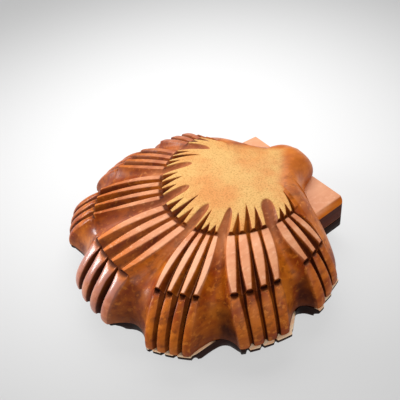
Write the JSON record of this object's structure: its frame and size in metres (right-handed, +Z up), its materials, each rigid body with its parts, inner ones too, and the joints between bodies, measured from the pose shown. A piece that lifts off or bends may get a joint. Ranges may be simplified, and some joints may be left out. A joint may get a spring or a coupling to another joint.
{
  "type": "shell box",
  "caption": "Carved wooden box in the form of a scallop shell: a hollow ribbed tray and a matching hollow ribbed lid with hinge ears, which lifts off.",
  "frame": {"origin": "middle of the bounding box in plan, at the flat underside the box stands on", "axes": "+Z up, the fan of ribs opens towards -Y (front), the hinge ears and the beak lie towards +Y (back), +X to the right"},
  "size_m": [0.2419, 0.217, 0.0712],
  "materials": {
    "tray_wood": "dark stained carved wood under satin lacquer",
    "lid_wood": "golden brown stained carved wood under gloss lacquer"
  },
  "bodies": {
    "root": {"tray": "tray_wood", "lid": "lid_wood"}
  },
  "joints": []
}
